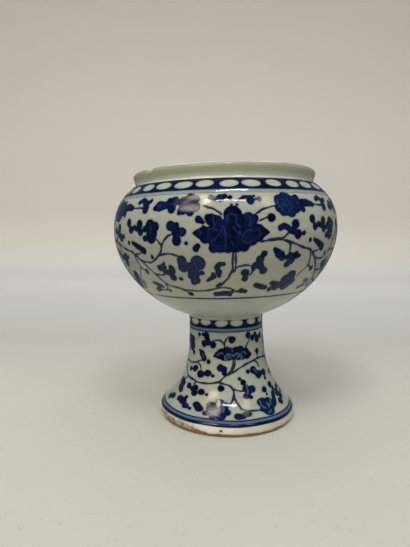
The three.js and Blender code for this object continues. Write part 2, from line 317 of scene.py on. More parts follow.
FOOT_LEAVES = (
    # the lotus under the ovals, with its two scrolls
    (0.9, (-8.4, 47.5, 0.8, -6, 48.4, 2.4, -4, 49.8, 2.5), (-2.2, 48.8, 3.8), (-0.6, 51.2, 2.2),
     (2, 50.4, 2.4), (5, 51, 2.2), (8, 51.2, 2.3), (11, 49.2, 3, 14.4, 47.8, 1.2),
     (12.4, 47.6, 2.4), (8.6, 48, 3), (3.4, 48.2, 3), (0.4, 46.6, 1.7), (6.6, 46.7, 1.7)),
    (0.95, (2.6, 57.4, 2.1), (4, 58, 1.2)),
    (0.95, (-20, 59.5, 1.3), (-17.2, 59.9, 1.1), (-14.2, 59.4, 2.2), (-16, 54.4, 2.1),
     (-13.2, 55.6, 2.2), (-9.6, 54.4, 2.2), (-13.4, 57.4, 1.6)),
    (0.8, (-30, 54.6, 3.6), (-28, 52, 3.6), (-26.6, 56, 1.8)), (0.95, (-25, 47.8, 1.3)),
    (0.9, (-17.4, 48.4, 2, -15.6, 45.6, 1.9), (-12.2, 43.9, 1.4), (-19.4, 50, 0.8)),
    (0.95, (-4.6, 40.8, 2.2), (-2.6, 40, 1.9), (-2.4, 37.8, 1.4)),
    (0.95, (-25.6, 37.6, 1.5), (-22, 38.3, 1.9), (-20.8, 39.2, 1.4), (-17, 36, 2.4),
     (-14.6, 36.6, 1.2), (-12, 37.2, 2.1), (-9, 36, 1)),
    (1, (-4, 29, 1.8)),
    (0.95, (-23.2, 27.4, 1.9), (-20.6, 26.4, 1.4), (-18.4, 27.2, 2), (-18, 24.2, 2),
     (-14.2, 25.8, 2), (-11, 24.8, 1)),
    (0.92, (-31.8, 27.6, 2.7), (-30.4, 24.6, 3), (-28.8, 27.4, 1.7), (-28.4, 22.8, 1.8)),
    (0.95, (-31.2, 16.4, 1.9), (-33, 14, 1.7)),
    (0.95, (-25.4, 18, 2.1), (-22.4, 17.4, 2.3), (-21.4, 20.4, 1), (-19.6, 15.2, 1.8),
     (-17, 14.4, 1)),
    # the lower flower, the buds beside it and the flower to its right
    (0.8, (-14.6, 18, 1.7, -12.6, 15.8, 1.9)),
    (0.5, (-5.2, 16.6, 4.4), (-7.8, 19, 1.9), (-4.2, 21, 1.9), (-1.8, 19.2, 2),
     (-1.6, 15.4, 2.1), (-3.4, 12.7, 2), (-6.6, 11.8, 1.3), (-9.2, 13.9, 1.6)),
    (0.9, (-7.4, 18, 1.2, -6.8, 19.2, 0.8), (-1.2, 18, 0.8, -1.2, 14.8, 0.8)),
    (0.6, (3.4, 12.8, 1.9), (6.8, 14.2, 1.9), (5.2, 12.4, 1.2)),
    (0.5, (15.2, 19, 2.7), (18.6, 18.2, 2.7), (20.4, 16, 2), (17, 13.6, 2.8), (14.6, 15.4, 1.8)),
    (0.8, (22, 16.4, 1.4, 24.6, 21.4, 1.5)), (1, (19.5, 25.4, 1.7), (20.1, 22.6, 0.8)),
    (0.9, (6, 34.2, 1.1), (7.8, 32, 1.7), (8.8, 28.4, 2), (12, 27.6, 2.2), (8.2, 24, 1.6),
     (10.4, 23.2, 1.2), (9.6, 25.8, 1.6)),
    (0.95, (11.6, 37.8, 1.3), (15.4, 38.2, 2.3), (18.8, 34.8, 2.4), (17, 36.6, 1.8),
     (21.4, 35.2, 1.5), (23.8, 34.8, 2.1), (23.4, 31.4, 1.1)),
    (0.9, (14, 59.2, 2), (17.5, 57.2, 1.8), (20, 59, 1.5), (22, 56, 2.4), (26, 57.4, 1.9)),
    (1, (21, 48.6, 1.7), (21.2, 46.6, 0.7)), (0.95, (25.4, 26.6, 1.8), (26.6, 23.8, 1.5)),
    (0.9, (28.4, 20.4, 2.3), (27.2, 15.4, 2.1), (30.4, 17.4, 2), (31, 22.4, 1.6)),
    (0.9, (33, 52.4, 2.3), (35.6, 50.4, 2), (32, 55, 1.3)),
    (0.9, (31, 32.4, 1.6), (34, 33.2, 2), (35.6, 30.4, 1.6)),
    (0.85, (34.6, 22.6, 2.4), (37.4, 20.4, 2), (34, 18.8, 1.6)), (1, (36.6, 58.6, 1.6)),
    (0.9, (37, 43.6, 1.8), (39.4, 45.4, 1.6)),
)
FOOT_VEINS = (
    # the two scrolls under the lotus
    (0.4, 2.6, 45.4, 1.6, 44.9, -0.4, 44.9, -2, 46, -1.6, 47.8, 0.2, 48.9, 2.2, 48.6, 3.4, 47.8,
     4.6, 48.8, 6.6, 49.1, 8.4, 48, 8.7, 46.2, 7.4, 45, 5.6, 45, 4.6, 45.6),
    (0.3, -0.6, 46.2, 0.4, 47.4, 1.6, 46.6), (0.3, 5.6, 46.4, 6.6, 47.6, 7.4, 46.6),
    (0.3, -6.8, 48.4, -4.6, 49.6, -3, 49.2), (0.3, 11.6, 48.2, 10.2, 49.6, 8.8, 49.6),
    (0.3, 2.4, 52.4, 2.6, 50.4),
    (0.36, 14.4, 20.2, 14.2, 17.6, 15.6, 15.4), (0.5, 17.4, 18.4, 18.2, 16.4, 17.6, 15.2),
    (0.36, 16, 12.4, 17.8, 13.2), (0.3, 20.2, 19.2, 19.8, 16.8),
    (0.36, -4.4, 20.6, -2.6, 18.4, -2.6, 15.4), (0.36, -5.8, 14, -3.8, 12.8),
    (0.36, -8.8, 15.6, -6.2, 15, -5, 16.4), (0.36, -9.4, 18, -8.8, 20),
    (0.3, 9, 30, 9.6, 27.4, 9, 25), (0.3, -16.8, 48, -15.8, 46), (0.3, 16, 38.6, 17.6, 36),
)
# Small shifts of the ovals along their border, in mm, taken in turn. Scaled down, they also
# raise, stretch and slant them.
OVAL_DRIFT = np.array((0.3, -0.4, 0.2, 0.5, -0.3, 0.1, -0.5, 0.4, -0.1, 0.35, -0.25))


def superellipse(widest, height, fullness, level, side, start, end, count=160):
    """Rows (radius, height) on a superellipse quarter: with t the turn between the two edge
    radii, radius = widest * cos(t)^(2/n) and distance from the widest ring = height *
    sin(t)^(2/n)."""
    turn = np.linspace(np.arccos((start / widest) ** (fullness / 2)),
                       np.arccos((end / widest) ** (fullness / 2)), count)
    return np.stack([widest * np.cos(turn) ** (2 / fullness),
                     level + side * height * np.sin(turn) ** (2 / fullness)], 1)


def full_height(widest, edge_radius, edge_distance, fullness):
    """Height of the whole superellipse quarter that passes through one edge point."""
    return edge_distance / (1 - (edge_radius / widest) ** fullness) ** (1 / fullness)


def arc(centre, radius, start, end, count=60):
    """Points on a circle from one angle to another."""
    turn = np.linspace(start, end, count)
    return np.stack([centre[0] + radius * np.cos(turn), centre[1] + radius * np.sin(turn)], 1)


def even_path(points, closed=False, soften=0.3, step=0.05):
    """The path resampled every step mm, its corners rounded by a running mean whose weights
    fall off as a bell curve. Returns the points and their distance along the path."""
    points = np.asarray(points, float)
    if closed:
        points = np.vstack([points, points[:1]])
    along = np.concatenate([[0], np.cumsum(np.hypot(*np.diff(points, axis=0).T))])
    count = int(along[-1] / step)
    even = np.linspace(0, along[-1], count + 1)
    path = np.stack([np.interp(even, along, points[:, i]) for i in (0, 1)], 1)
    reach = int(3 * soften / step)
    bell = np.exp(-0.5 * (np.arange(-reach, reach + 1) * step / soften) ** 2)
    bell /= bell.sum()
    if closed:
        padded = np.vstack([path[-reach - 1:-1], path, path[1:reach + 1]])
    else:
        mirror_start = 2 * path[0] - path[reach:0:-1]
        mirror_end = 2 * path[-1] - path[-2:-reach - 2:-1]
        padded = np.vstack([mirror_start, path, mirror_end])
    path = np.stack([np.convolve(padded[:, i], bell, "valid") for i in (0, 1)], 1)
    along = np.concatenate([[0], np.cumsum(np.hypot(*np.diff(path, axis=0).T))])
    return path, along


def bowl_path(form):
    """The bowl's outline from the middle of its underside, up the outside, over the lip and
    down the inside to the middle of its floor."""
    rise = form.belly_level - form.bowl_base
    shoulder = form.collar_level - form.belly_level
    lower = full_height(form.belly_radius, form.base_radius, rise, LOWER_FULLNESS)
    fillet = (form.collar_radius + COLLAR_FILLET, form.collar_level + COLLAR_FILLET)
    upper = full_height(form.belly_radius, fillet[0], shoulder, UPPER_FULLNESS)
    lip = (form.collar_radius - LIP_INSET, form.lip_top - LIP_BEAD)
    inside = form.belly_radius - form.wall
    mouth = lip[0] - LIP_BEAD
    inside_upper = full_height(inside, mouth, shoulder - form.wall / 2, UPPER_FULLNESS)
    return even_path(np.vstack([
        [(0, form.bowl_base)],
        superellipse(form.belly_radius, lower, LOWER_FULLNESS, form.belly_level, -1,
                     form.base_radius, form.belly_radius),
        superellipse(form.belly_radius, upper, UPPER_FULLNESS, form.belly_level, 1,
                     form.belly_radius, fillet[0])[1:],
        arc(fillet, COLLAR_FILLET, 1.5 * math.pi, math.pi)[1:],
        arc(lip, LIP_BEAD, LIP_UNDERSIDE, math.pi),
        superellipse(inside, inside_upper, UPPER_FULLNESS, form.belly_level, 1, mouth, inside),
        superellipse(inside, rise - BOWL_FLOOR, INSIDE_FULLNESS, form.belly_level, -1,
                     inside, 0)[1:],
    ]))


def foot_path(form):
    """The foot's outline, closed: from the inner edge of the ring that it stands on, out under
    the ring, up the hem and the flare, and down the inside one wall's thickness away."""
    hem = arc((form.foot_radius - HEM_ROUNDING, HEM_RISE), HEM_ROUNDING, 0, HEM_TURN, 20)
    start, base = hem[-1]
    rise = np.linspace(0, form.foot_height - STEM_RISE - base, 240)
    share = 1 - rise / FLARE_REACH
    flare = np.stack([form.waist_radius + (start - form.waist_radius) * share ** FLARE_POWER,
                      base + rise], 1)
    along = np.gradient(flare, axis=0)
    along /= np.hypot(*along.T)[:, None]
    inner = flare + form.foot_wall * np.stack([-along[:, 1], along[:, 0]], 1)
    top = form.waist_radius + STEM_FLARE
    contact = form.foot_radius - CONTACT_INSET
    return even_path(np.vstack([
        [(contact - CONTACT_WIDTH, 0), (contact, 0), (form.foot_radius, HEM_BEVEL)],
        hem, flare[1:],
        [(top, form.foot_height), (top - form.foot_wall, form.foot_height)],
        inner[::-1], [(contact - (CONTACT_WIDTH + RING_INSET), HEM_BEVEL)],
    ]), closed=True, soften=0.25)


def slip_path(form):
    """The slip's outline, closed: a ring that fills the joint. Its outside starts SLIP_INSET
    inside the stem and spreads by SLIP_SPREAD times the square of its share of the height, as
    a wet tool leaves it."""
    top = form.waist_radius + STEM_FLARE
    low, high = form.foot_height - SLIP_LAP, form.bowl_base + SLIP_LAP
    swell = np.linspace(0, 1, 12)
    outside = np.stack([top - SLIP_INSET + SLIP_SPREAD * swell ** 2,
                        low + (high - low) * swell], 1)
    inner = top - form.foot_wall + 0.1
    return even_path(np.vstack([[(inner, low)], outside, [(inner, high)]]), closed=True,
                     soften=0.1)


def turns_round(count):
    """Evenly spaced turns round the axis, in radians, from the back."""
    return np.arange(count) * (FULL_TURN / count) - math.pi


def turned_surface(name, form, path, along, rows, columns, closed=False, shape=None):
    """A surface of revolution from rows at given distances along an outline. The point at
    distance a and turn t is (r(a) sin t, -r(a) cos t, z(a)), so t = 0 faces the viewer. A row
    has all the columns, or half of them, and a strip between the two has three triangles for
    each wide gap. A row of radius 0 is one point. shape moves the finished points.
    Returns the object and its points' distances along the outline."""
    radius = np.interp(rows, along, path[:, 0])
    height = np.interp(rows, along, path[:, 1])
    radius[radius < 0.02] = 0
    turns, places, starts = [], [], [0]
    for i, count in enumerate(columns):
        count = 1 if radius[i] == 0 else count
        turns.append(turns_round(count))
        places.append(np.full(count, rows[i]))
        starts.append(starts[-1] + count)
    turn, place = np.concatenate(turns), np.concatenate(places)
    counts = np.diff(starts)
    ring = np.repeat(np.arange(len(rows)), counts)
    points = np.stack([radius[ring] * np.sin(turn), -radius[ring] * np.cos(turn),
                       height[ring]], 1)
    if shape:
        points = shape(points, turn, place)
    points = leaning(points, form)
    corners, across, up = [], [], []
    strips = [(i, i + 1) for i in range(len(rows) - 1)]
    if closed:
        strips.append((len(rows) - 1, 0))
    for low, high in strips:
        a, b = int(counts[low]), int(counts[high])
        level = (rows[low], rows[high] if high else along[-1])
        for side, k in strip_triangles(a, b):
            n = np.where(side == 0, a, b)
            corners.append(np.where(side == 0, starts[low], starts[high]) + k % n)
            across.append(k / n if min(a, b) > 1 else pole_share(side, k, a, b))
            up.append(np.where(side == 0, level[0], level[1]) / along[-1])
    corners = np.concatenate(corners)
    mesh = bpy.data.meshes.new(name)
    faces = len(corners)
    mesh.vertices.add(len(points))
    mesh.vertices.foreach_set("co", (points * MM).astype(np.float32).ravel())
    mesh.loops.add(faces * 3)
    mesh.loops.foreach_set("vertex_index", corners.astype(np.int32).ravel())
    mesh.polygons.add(faces)
    mesh.polygons.foreach_set("loop_start", np.arange(0, faces * 3, 3, dtype=np.int32))
    mesh.polygons.foreach_set("use_smooth", np.ones(faces, bool))
    mesh.update(calc_edges=True)
    layer = mesh.uv_layers.new(name="OFBake")
    uv = np.stack([np.concatenate(across), np.concatenate(up)], -1).astype(np.float32)
    layer.data.foreach_set("uv", uv.ravel())
    mesh.validate()
    piece = bpy.data.objects.new(name, mesh)
    bpy.context.scene.collection.objects.link(piece)
    return piece, place


# The triangles of a strip between two rings of points: which ring each corner is on, 0 for
# the lower one, and its steps round that ring as (for each gap, plus)
EVEN_STRIP = (((0, 0, 1), (1, 1, 1), (0, 1, 1)), ((0, 1, 1), (1, 1, 1), (0, 1, 0)))
FAN_UP = (((0, 0, 1), (1, 1, 0), (0, 1, 0)),)
FAN_DOWN = (((0, 1, 1), (0, 1, 1), (0, 1, 0)),)
HALVED_STRIP = (((0, 0, 1), (2, 2, 1), (0, 1, 0)), ((0, 1, 1), (2, 1, 1), (1, 1, 0)),
                ((0, 0, 1), (2, 2, 1), (1, 2, 1)))
DOUBLED_STRIP = (((1, 1, 0), (2, 2, 1), (1, 0, 0)), ((1, 0, 0), (2, 1, 1), (1, 0, 1)),
                 ((1, 1, 0), (2, 2, 1), (2, 1, 1)))


def strip_triangles(a, b):
    """The triangles of a strip between rings of a and b points, as (side, step) pairs: side 0
    is the lower ring, and step counts points round it."""
    if a == b:
        strip, gaps = EVEN_STRIP, a
    elif min(a, b) == 1:
        strip, gaps = (FAN_UP if b == 1 else FAN_DOWN), max(a, b)
    else:
        strip, gaps = (HALVED_STRIP if a > b else DOUBLED_STRIP), min(a, b)
    for side, each, plus in strip:
        yield np.tile(side, (gaps, 1)), np.arange(gaps)[:, None] * each + plus


def pole_share(side, k, a, b):
    """Turn shares in a fan round a pole: the pole's corner takes the middle of its triangle."""
    count = max(a, b)
    rim = np.where(side == (0 if b == 1 else 1), k, np.nan)
    middle = np.nanmean(rim, axis=1, keepdims=True)
    return np.where(np.isnan(rim), middle, rim) / count


def leaning(points, form):
    """The body leans over the foot, as it sagged in the kiln: from LEAN_START on, over
    LEAN_RISE, a smooth step h grows from 0 to 1. Each point moves left by the integral of h
    times the lean, and up or down by h times the lean times its x."""
    tilt = math.tan(form.lean)
    x, z = points[:, 0], points[:, 2]
    t = np.clip((z - LEAN_START) / LEAN_RISE, 0, 1)
    h = t * t * (3 - 2 * t)
    g = LEAN_RISE * (t ** 3 - t ** 4 / 2) + np.maximum(z - LEAN_START - LEAN_RISE, 0)
    return np.stack([x - tilt * g, points[:, 1], z + tilt * h * x], 1)


def wander(x, s, reach, amount=0.09):
    """Hand wobble: waves of 5 to 9 mm that bend the drawn outlines and close round the form."""
    turn = x / reach
    count = [round(FULL_TURN * reach / wave) for wave in (8.6, 5.3, 7.2, 4.9)]
    along = amount * (np.sin(count[0] * turn + 0.8 * s)
                      + 0.6 * np.sin(count[1] * turn - 1.1 * s + 2))
    up = amount * (np.sin(count[2] * turn + 0.9 * s + 1)
                   + 0.6 * np.sin(count[3] * turn - 1.0 * s + 4))
    return along, up


def stroke_field(x, s, stroke):
    """Signed distance, negative inside, to a chain of brush touches: neighbours (x, s, radius)
    are joined by a bar whose radius runs evenly from one to the other."""
    marks = np.array(stroke, float).reshape(-1, 3)
    field = np.hypot(x - marks[0, 0], s - marks[0, 1]) - marks[0, 2]
    for (x0, s0, r0), (x1, s1, r1) in zip(marks[:-1], marks[1:]):
        dx, ds = x1 - x0, s1 - s0
        share = np.clip(((x - x0) * dx + (s - s0) * ds) / (dx * dx + ds * ds), 0, 1)
        away = np.hypot(x - x0 - share * dx, s - s0 - share * ds)
        field = np.minimum(field, away - r0 - share * (r1 - r0))
    return field


def melted(a, b, reach=0.35):
    """Smooth union: the smaller distance, less a quarter of the reach times the square of how
    close the two are."""
    near = np.maximum(reach - np.abs(a - b), 0) / reach
    return np.minimum(a, b) - near * near * reach / 4


def smooth_chain(points, steps=6):
    """A Catmull-Rom curve through a chain of points, a few steps for each gap."""
    points = np.asarray(points, float).reshape(-1, 2)
    padded = np.vstack([2 * points[0] - points[1], points, 2 * points[-1] - points[-2]])
    t = np.linspace(0, 1, steps, endpoint=False)[:, None, None]
    p0, p1, p2, p3 = padded[:-3], padded[1:-2], padded[2:-1], padded[3:]
    curve = 0.5 * (2 * p1 + (p2 - p0) * t + (2 * p0 - 5 * p1 + 4 * p2 - p3) * t ** 2
                   + (3 * p1 - p0 - 3 * p2 + p3) * t ** 3)
    return np.vstack([curve.transpose(1, 0, 2).reshape(-1, 2), points[-1:]])


def vine_field(x, s, vine):
    """Signed distance across the nearest span of a drawn line, and its half width there, which
    swells and thins a little and runs out at both ends."""
    half, curve = vine[0], smooth_chain(vine[1:])
    a, b = curve[:-1], curve[1:]
    d = b - a
    px, ps = x[..., None] - a[:, 0], s[..., None] - a[:, 1]
    share = np.clip((px * d[:, 0] + ps * d[:, 1]) / (d ** 2).sum(1), 0, 1)
    ox, os = px - share * d[:, 0], ps - share * d[:, 1]
    away = np.hypot(ox, os)
    near = away.argmin(-1)[..., None]
    side = np.sign(np.take_along_axis(d[:, 0] * ps - d[:, 1] * px, near, -1)[..., 0])
    step = (near + np.take_along_axis(share, near, -1))[..., 0]
    run = step / len(d)
    width = half * (0.9 + 0.22 * np.sin(step * 0.6 + vine[1]))
    width = width * np.clip(np.minimum(run, 1 - run) * 12 + 0.55, 0, 1)
    return np.take_along_axis(away, near, -1)[..., 0] * np.where(side < 0, -1, 1), width


CROSSING = 1.5      # mm: how far from a drawn line its phase still turns
BARE, UNSEEN = 3.0, 9.0         # mm: distances that stand for no wash and no line
FRONT = 0.95        # radians from the front within which the drawing stays as set out
REDRAW_BEND, REDRAW_LIFT = 1.1, 0.9     # mm that it is drawn differently further round
TONE_SPREAD = 0.14  # how far the strokes of one leaf differ in tone
GROUND_TONE = 0.86  # tone of the dark round the ovals
OVAL_FULLNESS = 2.1


class Painting:
    """The cobalt on one turned surface, worked out on its rows and columns of points. wash is
    the signed distance to the nearest leaf, petal that to the nearest edge of a stroke, and
    vine that to the nearest drawn line, in mm."""

    def __init__(self, columns, s, reach):
        self.reach = reach
        self.x = turns_round(columns) * reach
        self.round = FULL_TURN * reach
        self.s = s
        shape = (len(s), columns)
        self.wash = np.full(shape, BARE)
        self.tone = np.full(shape, 0.8)
        self.petal = np.full(shape, UNSEEN)
        self.vine = np.full(shape, UNSEEN)
        self.half = np.full(shape, 0.3)

    def scroll(self, repeats, vines, leaves, veins):
        """Paints a pattern as many times round the form as repeats has numbers: stems first,
        leaves over them and veins last."""
        shifts = [repeat * self.round / len(repeats) for repeat in repeats]
        for shift in shifts:
            self.vines(vines, shift)
        for shift in shifts:
            self.leaves(leaves, shift)
        for shift in shifts:
            self.vines(veins, shift, sign=-1)

    def window(self, chains, shift, margin):
        """The rows and columns near some chains of points, and their x and s, wobbled and, away
        from the front, drawn a little differently in each repeat."""
        marks = np.vstack([np.asarray(c, float).reshape(len(c), -1)[:, :2] for c in chains])
        middle = marks[:, 0].mean() + shift
        reach = np.ptp(marks[:, 0]) / 2 + margin
        away = (self.x - middle + self.round / 2) % self.round - self.round / 2
        columns = np.nonzero(np.abs(away) < reach)[0]
        rows = np.nonzero((self.s > marks[:, 1].min() - margin)
                          & (self.s < marks[:, 1].max() + margin))[0]
        x = (away[columns] + middle)[None, :] + 0 * self.s[rows][:, None]
        s = self.s[rows][:, None] + 0 * x
        bend, lift = wander(x, s, self.reach)
        turn = x / self.reach
        fresh = np.clip((np.abs(np.arcsin(np.sin(turn / 2))) * 2 - FRONT) * 2, 0, 1)
        bend = bend + fresh * REDRAW_BEND * np.sin(5 * turn + 0.13 * s + 1)
        lift = lift + fresh * REDRAW_LIFT * np.sin(7 * turn + 2) * np.clip(s / 12, 0, 1)
        return np.ix_(rows, columns), x + bend - shift, s + lift

    def leaves(self, leaves, shift):
        """Paints leaves and petals whose strokes melt together, each stroke in a tone that is
        a little its own."""
        for tone, *strokes in leaves:
            chains = [np.array(stroke, float).reshape(-1, 3) for stroke in strokes]
            widest = max(chain[:, 2].max() for chain in chains)
            at, x, s = self.window(chains, shift, widest + 2)
            whole = np.full(x.shape, UNSEEN)
            edge = np.full(x.shape, UNSEEN)
            shade = self.tone[at]
            for stroke in strokes:
                field = stroke_field(x, s, stroke)
                whole = melted(whole, field)
                edge = np.where((field < 0) | (field < np.abs(edge)), field, edge)
                own = math.sin(1.9 * stroke[0] + 2.3 * stroke[1] + shift)
                shade = np.where(field < 0.3, tone + TONE_SPREAD * own, shade)
            old = self.petal[at]
            inside = whole < 0.1
            self.petal[at] = np.where(inside | (np.abs(edge) < np.abs(old)), edge, old)
            self.tone[at] = shade
            self.wash[at] = np.minimum(self.wash[at], whole)

    def vines(self, vines, shift, sign=1):
        """Draws stems, or with sign -1 the pale veins, whose half widths are kept negative."""
        for vine in vines:
            chain = np.array(vine[1:], float).reshape(-1, 2)
            at, x, s = self.window([chain], shift, 3)
            field, half = vine_field(x, s, vine)
            near = np.abs(field) - half < np.abs(self.vine[at]) - np.abs(self.half[at])
            if sign < 0:
                near &= self.wash[at] < 0.3
            self.vine[at] = np.where(near, field, self.vine[at])
            self.half[at] = np.where(near, sign * half, self.half[at])

    def ovals(self, count, middle, length, height, band, first):
        """A border of pale ovals left bare in a dark band: the dark lies inside the band and
        outside every oval. With a and b the distances from its middle in half lengths, its
        outline is |a|^n + |b|^n = 1, where n is OVAL_FULLNESS."""
        s = self.s[:, None] + 0 * self.x
        gap = self.round / count
        number = np.round((self.x - first) / gap).astype(int)

        def drift(step, start):
            return OVAL_DRIFT[(number * step + start) % len(OVAL_DRIFT)]

        centre = first + number * gap + drift(1, 0)
        a = (self.x - centre) + 0 * s
        b = s - middle - 0.45 * drift(3, 1) - 0.12 * drift(7, 3) * a
        a, b = np.abs(a) / (length * (1 + 0.16 * drift(5, 2))), np.abs(b) / height
        power = (a ** OVAL_FULLNESS + b ** OVAL_FULLNESS) ** (1 / OVAL_FULLNESS)
        oval = (power - 1) * np.minimum(height, length) * 0.9
        ground = np.maximum(np.abs(s - middle) - band, -oval)
        inside = ground < self.wash
        self.tone = np.where(inside, GROUND_TONE, self.tone)
        self.petal = np.where(inside, ground, self.petal)
        self.wash = np.minimum(self.wash, ground)

    def store(self, mesh, place, start):
        """Puts the painting on the mesh's points, from the first one at the distance start
        along the outline on. Lines are kept as the cosine and sine of a phase, half a turn for
        each CROSSING mm, so that they stay crisp between points and don't join up where two of
        them face each other."""
        first, total = int(np.isclose(place, start).argmax()), len(place)
        for name, field, extra, blank in (("vine", self.vine, self.half, 0.0),
                                          ("petal", self.petal, self.tone, 0.8)):
            phase = math.pi * np.clip(field / CROSSING, -1, 1)
            values = np.tile(np.array([-1.0, 0.0, blank]), (total, 1))
            values[first:first + field.size] = np.stack(
                [np.cos(phase).ravel(), np.sin(phase).ravel(), extra.ravel()], 1)
            layer = mesh.attributes.new(name, "FLOAT_VECTOR", "POINT")
            layer.data.foreach_set("vector", values.astype(np.float32).ravel())
        values = np.full(total, BARE)
        values[first:first + self.wash.size] = self.wash.ravel()
        layer = mesh.attributes.new("wash", "FLOAT", "POINT")
        layer.data.foreach_set("value", values.astype(np.float32))


class Brush:
    """Short names for the shader nodes that the glazes use. Distances are in mm."""

    def __init__(self, name):
        self.material = bpy.data.materials.new(name)
        self.material.use_nodes = True
        self.nodes = self.material.node_tree.nodes
        self.links = self.material.node_tree.links
        self.shader = self.nodes["Principled BSDF"]
        self.place = self.nodes.new("ShaderNodeTexCoord").outputs["Object"]

    def feed(self, socket, value):
        if isinstance(value, bpy.types.NodeSocket):
            self.links.new(value, socket)
        elif isinstance(value, (int, float)):
            socket.default_value = value
        else:
            socket.default_value = (*value, 1)[:len(socket.default_value)]

    def maths(self, operation, *inputs):
        node = self.nodes.new("ShaderNodeMath")
        node.operation = operation
        for socket, value in zip(node.inputs, inputs):
            self.feed(socket, value)
        return node.outputs[0]

    def plus(self, a, b):
        return self.maths("ADD", a, b)

    def minus(self, a, b):
        return self.maths("SUBTRACT", a, b)

    def magnitude(self, value):
        return self.maths("ABSOLUTE", value)

    def scaled(self, value, factor, offset):
        """A value times a factor, plus an offset."""
        return self.maths("MULTIPLY_ADD", value, factor, offset)

    def times(self, *values):
        return reduce(lambda a, b: self.maths("MULTIPLY", a, b), values)

    def most(self, *values):
        return reduce(lambda a, b: self.maths("MAXIMUM", a, b), values)

    def ramp(self, value, start, end, low=0.0, high=1.0):
        """Smooth step of a value between two levels."""
        node = self.nodes.new("ShaderNodeMapRange")
        node.interpolation_type = "SMOOTHSTEP"
        for socket, number in zip(node.inputs, (value, start, end, low, high)):
            self.feed(socket, number)
        return node.outputs[0]

    def near(self, value, level, reach, soft):
        """1 where a value lies within reach of a level, with a soft edge."""
        return self.ramp(self.magnitude(self.minus(value, level)), reach + soft, reach - soft)

    def within(self, value, low, high, soft):
        """1 where a value lies between two levels, with soft edges."""
        return self.near(value, (low + high) / 2, (high - low) / 2, soft)

    def mix(self, share, low, high):
        node = self.nodes.new("ShaderNodeMix")
        node.data_type = "RGBA"
        for number, value in ((0, share), (6, low), (7, high)):
            self.feed(node.inputs[number], value)
        return node.outputs[2]

    def tinted(self, colour, tone, *shares):
        """A colour turned towards a tone by the product of some shares."""
        return self.mix(self.times(*shares), colour, tone)

    def noise(self, size, detail=2.0, stretch=None):
        """Cloudy noise whose patches are about size mm across."""
        node = self.nodes.new("ShaderNodeTexNoise")
        node.inputs["Scale"].default_value = 1000 / size
        node.inputs["Detail"].default_value = detail
        place = self.place
        if stretch:
            mapping = self.nodes.new("ShaderNodeMapping")
            self.links.new(place, mapping.inputs["Vector"])
            mapping.inputs["Scale"].default_value = stretch
            place = mapping.outputs[0]
        self.links.new(place, node.inputs["Vector"])
        return node.outputs["Fac"]

    def cloud(self, size, detail, start, end, most=1.0, stretch=None):
        """Patches of noise, none below one level and up to most above another."""
        return self.ramp(self.noise(size, detail, stretch), start, end, 0.0, most)

    def specks(self, gap, radius, share):
        """Small round specks, one in a share of the cells of a given gap."""
        node = self.nodes.new("ShaderNodeTexVoronoi")
        node.inputs["Scale"].default_value = 1000 / gap
        self.links.new(self.place, node.inputs["Vector"])
        colour = self.nodes.new("ShaderNodeSeparateColor")
        self.links.new(node.outputs["Color"], colour.inputs[0])
        chosen = self.maths("LESS_THAN", colour.outputs[0], share)
        size = self.times(colour.outputs[1], radius / gap)
        dot = self.ramp(self.minus(node.outputs["Distance"], size),
                        0.3 * radius / gap, -0.3 * radius / gap)
        return self.times(dot, chosen)

    def attribute(self, name, output):
        node = self.nodes.new("ShaderNodeAttribute")
        node.attribute_name = name
        return node.outputs[output]

    def split(self, vector):
        """The X, Y and Z of a vector."""
        node = self.nodes.new("ShaderNodeSeparateXYZ")
        self.links.new(vector, node.inputs[0])
        return node.outputs

    def phase(self, name):
        """The signed distance from a drawn line, and the value kept with it."""
        parts = self.split(self.attribute(name, "Vector"))
        turn = self.maths("ARCTAN2", parts[1], parts[0])
        return self.times(turn, CROSSING / math.pi), parts[2]

    def outline_place(self, length, zero):
        """The turn round the axis, 0 to 1, and the distance along the outline."""
        node = self.nodes.new("ShaderNodeUVMap")
        node.uv_map = "OFBake"
        parts = self.split(node.outputs[0])
        return parts[0], self.scaled(parts[1], length, -zero)


def shaded(colour, *factors):
    """A colour times one factor, or times one for each channel."""
    return tuple(c * f for c, f in zip(colour, factors * (3 // len(factors))))


def painted_glaze(name, length, zero, lines, bands, pools, veins, thin_glaze_and_highlight,
                  olive_shade=None, nick=None, clay=False):
    """Glaze over cobalt painting. lines are (level, half width, tone) rings drawn round the
    outline, and bands are (level, half width, strength) of pale blue under them. pools are
    (level, reach, strength, tone) for glaze lying thick, painted shade round the belly's middle
    and painted light under the bowl. veins is how pale the veins are. Two ranges (low, high) of
    levels follow: a whiter band of thin glaze, painted lighter at the front left, which on the
    bowl is a painted highlight ring at the foot of the collar, and painted olive shade on the
    collar and lip. nick is the level of a chip in the lip, and clay adds the bare foot ring."""
    look = bpy.context.scene.bowl_glaze
    brush = Brush(name)
    turn, along = brush.outline_place(length, zero)
    fray = brush.noise(1.3, 2)
    hand = brush.scaled(brush.noise(22, 1), 1.1, -0.55)
    hand = brush.scaled(fray, 0.12, brush.minus(hand, 0.06))
    wobbled = brush.plus(along, hand)
    ink, cobalt, bleed = cobalt_painting(brush, fray, wobbled, lines, veins)
    body = glaze_colour(brush, turn, along, pools, thin_glaze_and_highlight, olive_shade)
    body = brush.tinted(body, look.cobalt_pale, bleed, 0.26)
    for level, reach, strength in bands:
        band = brush.near(wobbled, level, reach, 0.25)
        body = brush.tinted(body, look.cobalt_pale, band, strength)
    colour = brush.mix(ink, body, cobalt)
    rough = brush.scaled(brush.noise(7, 2), 0.06, 0.05)
    if clay:
        colour, rough = bare_ring(brush, turn, along, colour, rough)
    if nick is not None:
        colour, rough = broken_lip(brush, turn, along, nick, colour, rough)
    finish_glaze(brush, colour, rough)
    return brush.material


